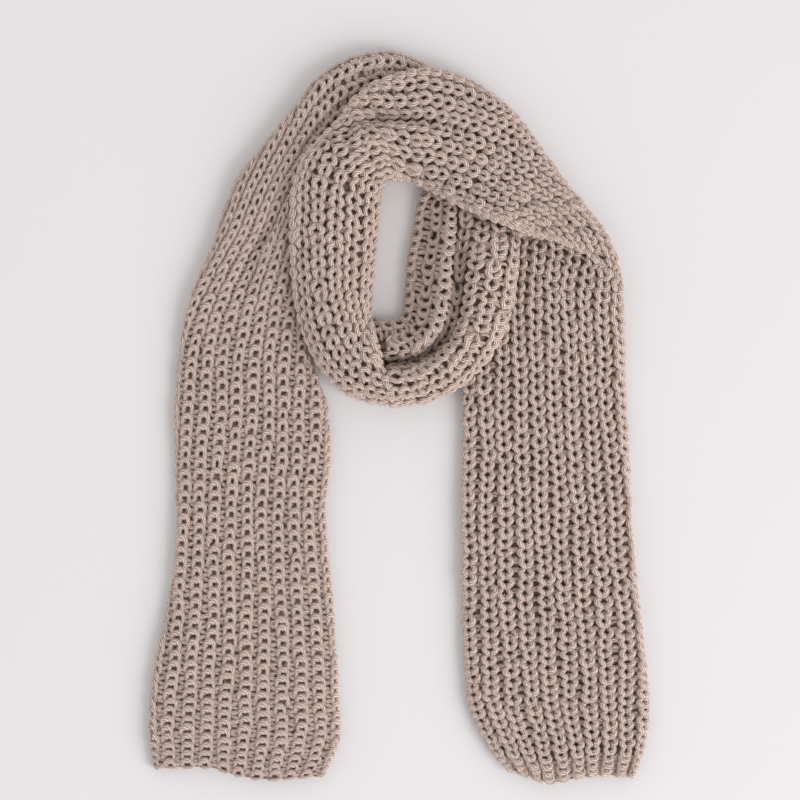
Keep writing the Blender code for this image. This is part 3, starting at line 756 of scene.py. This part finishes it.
def every(step, count):
    """One place in so many, and the last place."""
    return np.unique(np.append(np.arange(0, count, step), count - 1))


def lay_ground(cloth, stretch, material, back_material):
    """The ground cloth under the yarn of a stretch, and the flat back below it."""
    start, end = rows_of(cloth, stretch)
    part = slice(start, end + 1)
    ground, beds, walls = ground_grid(cloth, part)
    first, last = cloth.first_rib[part, None], cloth.last_rib[part, None]

    def uv_at(columns):
        ribs = first + (last - first) * columns / (ACROSS_POINTS - 1)
        return np.stack([ribs, cloth.course_of(ribs, cloth.rows[part, None])], axis=-1)

    keep = every(ACROSS_KEPT, ACROSS_POINTS)
    outside = ground[:, keep]
    outwards = unit(np.cross(np.gradient(outside, axis=1), np.gradient(outside, axis=0)))
    inwards = -GROUND_THICKNESS * outwards
    ground_piece = grid_piece(f"ground_{stretch}", outside, inwards, uv_at(keep), material)
    columns = walls[:, 1:] + (walls[:, :1] - walls[:, 1:]) * np.linspace(0, 1, BACK_POINTS)
    rows = np.arange(len(ground))[:, None] + 0 * columns
    back = between(ground, rows, columns)
    back[..., 2] = between(beds, rows, columns) + BACK_LIFT
    keep = every(BACK_ROWS, len(ground))
    up = np.array((0.0, 0.0, GROUND_THICKNESS))
    back_piece = grid_piece(f"back_{stretch}", back[keep], up, uv_at(columns)[keep], back_material)
    return ground_piece, back_piece


CLOTHS = {}
RUN_OF = {s.stretch: i for i, run in enumerate(RUNS) for s in run.sections}


def cloth_of(stretch):
    """The laid-out surface of the run that a stretch belongs to, worked out once."""
    if not CLOTHS:
        trees = {node: solid_tree(node) for knit in KNITS.values() for node in knit.below}
        CLOTHS.update({i: Cloth(run, trees) for i, run in enumerate(RUNS)})
    return CLOTHS[RUN_OF[stretch]]


def new_material(name):
    """A material with its Principled shader and its output, and nothing else."""
    material = bpy.data.materials.new(name)
    material.use_nodes = True
    return material, material.node_tree


def set_inputs(tree, node, inputs):
    """Give each input of a node its value, or join it to another node's output."""
    for name, value in inputs.items():
        if isinstance(value, bpy.types.NodeSocket):
            tree.links.new(value, node.inputs[name])
        else:
            node.inputs[name].default_value = value


def add_node(tree, kind, inputs, **settings):
    node = tree.nodes.new("ShaderNode" + kind)
    for name, value in settings.items():
        setattr(node, name, value)
    set_inputs(tree, node, inputs)
    return node


def calc(tree, operation, *values):
    """A number that the shader works out from one or two others."""
    return add_node(tree, "Math", dict(enumerate(values)), operation=operation).outputs[0]


def noise(tree, place, scale, **inputs):
    return add_node(tree, "TexNoise", {"Vector": place, "Scale": scale, **inputs}).outputs[0]


def colour_between(tree, factor, first, last, start=0.0, end=1.0):
    """A colour that goes from one to another while a number goes from start to end."""
    ramp = add_node(tree, "ValToRGB", {"Fac": factor})
    for element, place, colour in zip(ramp.color_ramp.elements, (start, end), (first, last)):
        element.position = place
        element.color = (*colour, 1)
    return ramp.outputs["Color"]


def relief(tree, height, strength, distance):
    inputs = {"Height": height, "Strength": strength, "Distance": distance}
    return add_node(tree, "Bump", inputs).outputs["Normal"]


def split(tree, vector):
    return add_node(tree, "SeparateXYZ", {0: vector}).outputs


def strand_uv(tree):
    return add_node(tree, "UVMap", {}, uv_map="strand").outputs["UV"]


def on_object(tree):
    return add_node(tree, "TexCoord", {}).outputs["Object"]


PLIES = 7
PLY_TURNS = 2.2  # plies passed along one unit of the strand's UV map
FIBRE_SCALE = 1100.0
FIBRE_HEIGHT = 0.55  # against a ply's
MELANGE_SCALE = 260.0
MELANGE_DARK = 0.18  # how far the random mottle goes from the yarn's colour towards the colour of its painted shade
GROOVE_SHADE = 0.8  # how much painted shade the grooves between the plies get, from 0 to 1
# Painted shade on the strand's underside, at its fullest
FLANK_SHADE = 0.45
FLANK_FALL = 3.0  # how steeply the painted shade grows towards the strand's underside
DEEPEST_SHADE = 0.95
MELANGE_SPREAD = (0.3, 0.72)  # the noise of its darker and its lighter colour
YARN_RELIEF = (0.9, 0.0011)  # strength and depth


def ply_group():
    """The twist of the yarn: plies that wind round the strand, with fine fibres along them, and the
    masks for the shade painted in the grooves between the plies and on the strand's underside.
    """
    group = bpy.data.node_groups.new("Twisted plies", "ShaderNodeTree")
    for name, kind in (("Strand", "Vector"), ("Place", "Vector"), ("Turns", "Float")):
        group.interface.new_socket(name, in_out="INPUT", socket_type="NodeSocket" + kind)
    for name in ("Height", "Groove", "Melange", "Flank"):
        group.interface.new_socket(name, in_out="OUTPUT", socket_type="NodeSocketFloat")
    inputs = group.nodes.new("NodeGroupInput").outputs
    strand = split(group, inputs["Strand"])
    wound = calc(group, "MULTIPLY", strand["X"], inputs["Turns"])
    around = calc(group, "MULTIPLY", strand["Y"], PLIES)
    angle = calc(group, "MULTIPLY", calc(group, "ADD", wound, around), math.pi)
    ply = calc(group, "ABSOLUTE", calc(group, "SINE", angle))
    fibre = noise(group, inputs["Place"], FIBRE_SCALE, Detail=3.0)
    # Where shade is painted on the strand: 0 on its top, 1 on its underside
    facing = calc(group, "SINE", calc(group, "MULTIPLY", strand["Y"], 2 * math.pi))
    made = {
        "Height": calc(group, "ADD", ply, calc(group, "MULTIPLY", fibre, FIBRE_HEIGHT)),
        "Groove": calc(group, "SUBTRACT", 1.0, ply),
        "Melange": noise(group, inputs["Place"], MELANGE_SCALE, Detail=4.0, Roughness=0.65),
        "Flank": calc(group, "SUBTRACT", 0.5, calc(group, "MULTIPLY", facing, 0.5)),
    }
    set_inputs(group, group.nodes.new("NodeGroupOutput"), made)
    return group


def yarn_material(name, light, deep):
    """Spun yarn: mottled between its two colours, with painted shade between the plies and on its
    underside.
    """
    if name in bpy.data.materials:
        return bpy.data.materials[name]
    material, tree = new_material(name)
    inputs = {"Strand": strand_uv(tree), "Place": on_object(tree), "Turns": PLY_TURNS}
    plies = add_node(tree, "Group", inputs, node_tree=ply_group()).outputs
    dark = [(1 - MELANGE_DARK) * a + MELANGE_DARK * b for a, b in zip(light, deep)]
    mottle = colour_between(tree, plies["Melange"], dark, light, *MELANGE_SPREAD)
    # Painted shade: the colour goes towards the deep colour in the grooves between the plies and on the
    # strand's underside
    groove_shade = calc(tree, "MULTIPLY", plies["Groove"], GROOVE_SHADE)
    flank_shade = calc(tree, "MULTIPLY", calc(tree, "POWER", plies["Flank"], FLANK_FALL), FLANK_SHADE)
    shade = calc(tree, "MINIMUM", calc(tree, "ADD", groove_shade, flank_shade), DEEPEST_SHADE)
    shaded = add_node(tree, "Mix", {"Factor": shade, "A": mottle, "B": (*deep, 1)}, data_type="RGBA")
    look = {
        "Base Color": shaded.outputs["Result"],
        "Roughness": 0.88,
        "Sheen Weight": 0.06,
        "Sheen Roughness": 0.5,
        "Specular IOR Level": 0.2,
        "Normal": relief(tree, plies["Height"], *YARN_RELIEF),
    }
    set_inputs(tree, tree.nodes["Principled BSDF"], look)
    return material


STITCH_LEAN = 1.4  # how far the legs of a plain stitch lean, in courses to a rib
STITCH_FLAT = 0.4  # the lower, the flatter a plain rib's crown
GRAIN_SCALE = 700.0
GRAIN_HEIGHT = 0.4  # against a stitch's
KNIT_SHADE_SPREAD = (0.15, 1.1 / 1.4)  # the heights of its darkest painted shade, in a stitch's hollows, and of its lighter colour
KNIT_RELIEF = (0.8, 0.003)
GROUND_HOLLOW_SHADE = 0.5  # the painted shade in the hollows of the ground's stitches, against the ground's colour


def knitted_material(name, light, deep):
    """Plain knit seen from afar, with painted shade in the hollows of its stitches, for the cloth that
    lies under the yarn and for the back.
    """
    if name in bpy.data.materials:
        return bpy.data.materials[name]
    material, tree = new_material(name)
    knit = split(tree, strand_uv(tree))
    rib = calc(tree, "PINGPONG", knit["X"], 0.5)
    course = calc(tree, "ADD", knit["Y"], calc(tree, "MULTIPLY", rib, STITCH_LEAN))
    wave = calc(tree, "SINE", calc(tree, "MULTIPLY", course, 2 * math.pi))
    raised = calc(tree, "ADD", calc(tree, "MULTIPLY", wave, 0.5), 0.5)
    stitch = calc(tree, "MULTIPLY", raised, calc(tree, "POWER", rib, STITCH_FLAT))
    grain = noise(tree, on_object(tree), GRAIN_SCALE, Detail=3.0)
    height = calc(tree, "ADD", stitch, calc(tree, "MULTIPLY", grain, GRAIN_HEIGHT))
    # The base colour is painted shade: darker the lower a place lies in its stitch
    look = {
        "Base Color": colour_between(tree, height, deep, light, *KNIT_SHADE_SPREAD),
        "Roughness": 0.95,
        "Specular IOR Level": 0.1,
        "Normal": relief(tree, height, *KNIT_RELIEF),
    }
    set_inputs(tree, tree.nodes["Principled BSDF"], look)
    return material


def knit_stretch(stretch):
    """One stretch of the scarf: its ground, its back and its yarn, which stand for its solid."""
    settings = bpy.context.scene.scarf_yarn
    light, deep, shade = (tuple(c) for c in (settings.light, settings.deep, settings.shade))
    yarn_look = yarn_material("spun_yarn", light, deep)
    # The ground is the yarn under the stitches in painted shade, and the back has painted shade in its
    # hollows
    ground_look = knitted_material("yarn_in_shade", shade, tuple(GROUND_HOLLOW_SHADE * c for c in shade))
    back_look = knitted_material("knitted_back", light, deep)
    cloth = cloth_of(stretch)
    ground, back = lay_ground(cloth, stretch, ground_look, back_look)
    yarn = knit_yarn(cloth, stretch, settings, yarn_look)
    if stretch.startswith("tail"):
        yarn.append(hem_yarn(cloth, stretch, settings, yarn_look))
    for piece in (ground, back, *yarn):
        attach(piece, "root")
    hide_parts(stretch)


class YarnSettings(bpy.types.PropertyGroup):
    light: bpy.props.FloatVectorProperty(
        name="Yarn colour",
        description="Colour of the yarn's crests",
        subtype="COLOR",
        default=(0.875, 0.695, 0.617),
    )
    # Painted shade: the colour that the yarn is darkened towards in its grooves and on its underside,
    # and the knitted back in its hollows
    deep: bpy.props.FloatVectorProperty(
        name="Painted shade colour",
        description="Colour between the plies of the yarn",
        subtype="COLOR",
        default=(0.24, 0.172, 0.135),
    )
    # Painted shade: the ground stands for the same yarn deeper in the cloth, darkened for the shade that
    # falls between the stitches
    shade: bpy.props.FloatVectorProperty(
        name="Ground shade colour",
        description="Colour of the cloth that shows between the stitches",
        subtype="COLOR",
        default=(0.50, 0.35, 0.28),
    )
    thickness: bpy.props.FloatProperty(
        name="Thickness",
        description="How thick the yarn is, against the real one",
        default=1.0,
        min=0.5,
        max=1.3,
    )
    unevenness: bpy.props.FloatProperty(
        name="Unevenness",
        description="How far the stitches stray from even rows",
        default=1.0,
        min=0.0,
        max=2.0,
    )
    seed: bpy.props.IntProperty(name="Seed", description="Another seed strays otherwise", default=7)


class StageSettings(bpy.types.PropertyGroup):
    floor: bpy.props.FloatVectorProperty(
        name="Floor colour",
        description="Colour of the floor",
        subtype="COLOR",
        default=(0.80, 0.785, 0.80),
    )
    key_power: bpy.props.FloatProperty(
        name="Key light",
        description="Power of the large light beside the scarf",
        unit="POWER",
        default=248.0,
    )
    fill: bpy.props.FloatProperty(
        name="Fill", description="Strength of the light all round", default=1.60, min=0.0
    )
    view_width: bpy.props.FloatProperty(
        name="View width",
        description="Width of the floor that the camera sees",
        unit="LENGTH",
        default=0.8,
    )


class SCARF_OT_knit_tails(bpy.types.Operator):
    """Knit the two tails that hang free"""

    bl_idname = "scarf.knit_tails"
    bl_label = "Knit the tails"

    def execute(self, context):
        for stretch in ("tail_right", "tail_left"):
            knit_stretch(stretch)
        return {"FINISHED"}


class SCARF_OT_knit_loop(bpy.types.Operator):
    """Knit the left shoulder, the back of the neck and the loop's right and lower stretches"""

    bl_idname = "scarf.knit_loop"
    bl_label = "Knit the back and the loop"

    def execute(self, context):
        for stretch in ("shoulder_left", "neck_back", "loop_right", "loop_bottom"):
            knit_stretch(stretch)
        return {"FINISHED"}


class SCARF_OT_knit_front(bpy.types.Operator):
    """Knit what lies on top: the loop's left side, the front of the neck and the right shoulder"""

    bl_idname = "scarf.knit_front"
    bl_label = "Knit the front"

    def execute(self, context):
        for stretch in ("loop_left", "neck_front", "shoulder_right"):
            knit_stretch(stretch)
        return {"FINISHED"}


CAMERA_HEIGHT = 2.6
VIEW_MIDDLE = (0.001, 0.0185)
SENSOR = 36.0
FLOOR_SIZE = 6.0
KEY_PLACE = (4.4, -3.0, 2.9)
KEY_SIZE = 4.2
FAR_ENOUGH = 20.0
PAPER_MOTTLE = 0.985  # the paper's darker spots, against its colour
PAPER_SCALE = 3.0
WALL_LIGHT = (1.0, 0.985, 0.975)
CEILING_LIGHT = (0.15, 0.146, 0.143)
LIGHT_SPREAD = (0.2, 0.95)  # how high the walls' light ends, and the ceiling's begins


def floor_material(colour):
    """Matt studio paper with a faint mottle."""
    material, tree = new_material("studio_paper")
    mottle = noise(tree, on_object(tree), PAPER_SCALE)
    tint = colour_between(tree, mottle, [PAPER_MOTTLE * c for c in colour], colour)
    look = {"Base Color": tint, "Roughness": 0.9, "Specular IOR Level": 0.15}
    set_inputs(tree, tree.nodes["Principled BSDF"], look)
    return material


def studio_world(fill):
    """Light from all round, dimmer overhead than from the walls."""
    world = bpy.data.worlds.new("studio")
    world.use_nodes = True
    tree = world.node_tree
    height = split(tree, add_node(tree, "TexCoord", {}).outputs["Generated"])["Z"]
    colour = colour_between(tree, height, WALL_LIGHT, CEILING_LIGHT, *LIGHT_SPREAD)
    set_inputs(tree, tree.nodes["Background"], {"Color": colour, "Strength": fill})
    return world


def area_light(name, place, size, power):
    """A round soft light that is aimed at the middle of the scarf."""
    light = bpy.data.lights.new(name, "AREA")
    light.shape = "DISK"
    light.size = size
    light.energy = power
    lamp = bpy.data.objects.new(name, light)
    lamp.location = place
    lamp.rotation_euler = (-Vector(place)).to_track_quat("-Z", "Y").to_euler()
    bpy.context.collection.objects.link(lamp)


class SCARF_OT_set_stage(bpy.types.Operator):
    """Set the floor, the light and the camera straight above"""

    bl_idname = "scarf.set_stage"
    bl_label = "Set the stage"

    def execute(self, context):
        stage = context.scene.scarf_stage
        bpy.ops.object.select_all(action="DESELECT")
        bpy.ops.mesh.primitive_plane_add(size=FLOOR_SIZE, location=(0, 0, 0))
        floor = context.object
        floor.name = "studio_floor"
        floor.data.materials.append(floor_material(tuple(stage.floor)))
        area_light("key", KEY_PLACE, KEY_SIZE, stage.key_power)
        context.scene.world = studio_world(stage.fill)
        camera = bpy.data.cameras.new("above")
        camera.sensor_width = SENSOR
        camera.lens = SENSOR * CAMERA_HEIGHT / stage.view_width
        camera.clip_end = FAR_ENOUGH
        seat = bpy.data.objects.new("above", camera)
        seat.location = (*VIEW_MIDDLE, CAMERA_HEIGHT)
        context.collection.objects.link(seat)
        context.scene.camera = seat
        context.scene.view_settings.view_transform = "Standard"
        return {"FINISHED"}


class SCARF_PT_panel(bpy.types.Panel):
    bl_idname = "SCARF_PT_panel"
    bl_label = "Rib-knit scarf"
    bl_space_type = "VIEW_3D"
    bl_region_type = "UI"
    bl_category = "Scarf"

    def draw(self, context):
        layout = self.layout
        yarn, stage = context.scene.scarf_yarn, context.scene.scarf_stage
        for name in ("light", "deep", "shade", "thickness", "unevenness", "seed"):
            layout.prop(yarn, name)
        for name in ("floor", "key_power", "fill", "view_width"):
            layout.prop(stage, name)
        for operator in OPERATORS:
            layout.operator(operator.bl_idname)


OPERATORS = (SCARF_OT_knit_tails, SCARF_OT_knit_loop, SCARF_OT_knit_front, SCARF_OT_set_stage)
CLASSES = (YarnSettings, StageSettings, *OPERATORS, SCARF_PT_panel)


def register():
    for each in CLASSES:
        bpy.utils.register_class(each)
    bpy.types.Scene.scarf_yarn = bpy.props.PointerProperty(type=YarnSettings)
    bpy.types.Scene.scarf_stage = bpy.props.PointerProperty(type=StageSettings)


def unregister():
    del bpy.types.Scene.scarf_stage
    del bpy.types.Scene.scarf_yarn
    for each in reversed(CLASSES):
        bpy.utils.unregister_class(each)


def main():
    register()
    bpy.ops.scarf.knit_tails()
    bpy.ops.scarf.knit_loop()
    bpy.ops.scarf.knit_front()
    bpy.ops.scarf.set_stage()


if __name__ == "__main__":
    main()
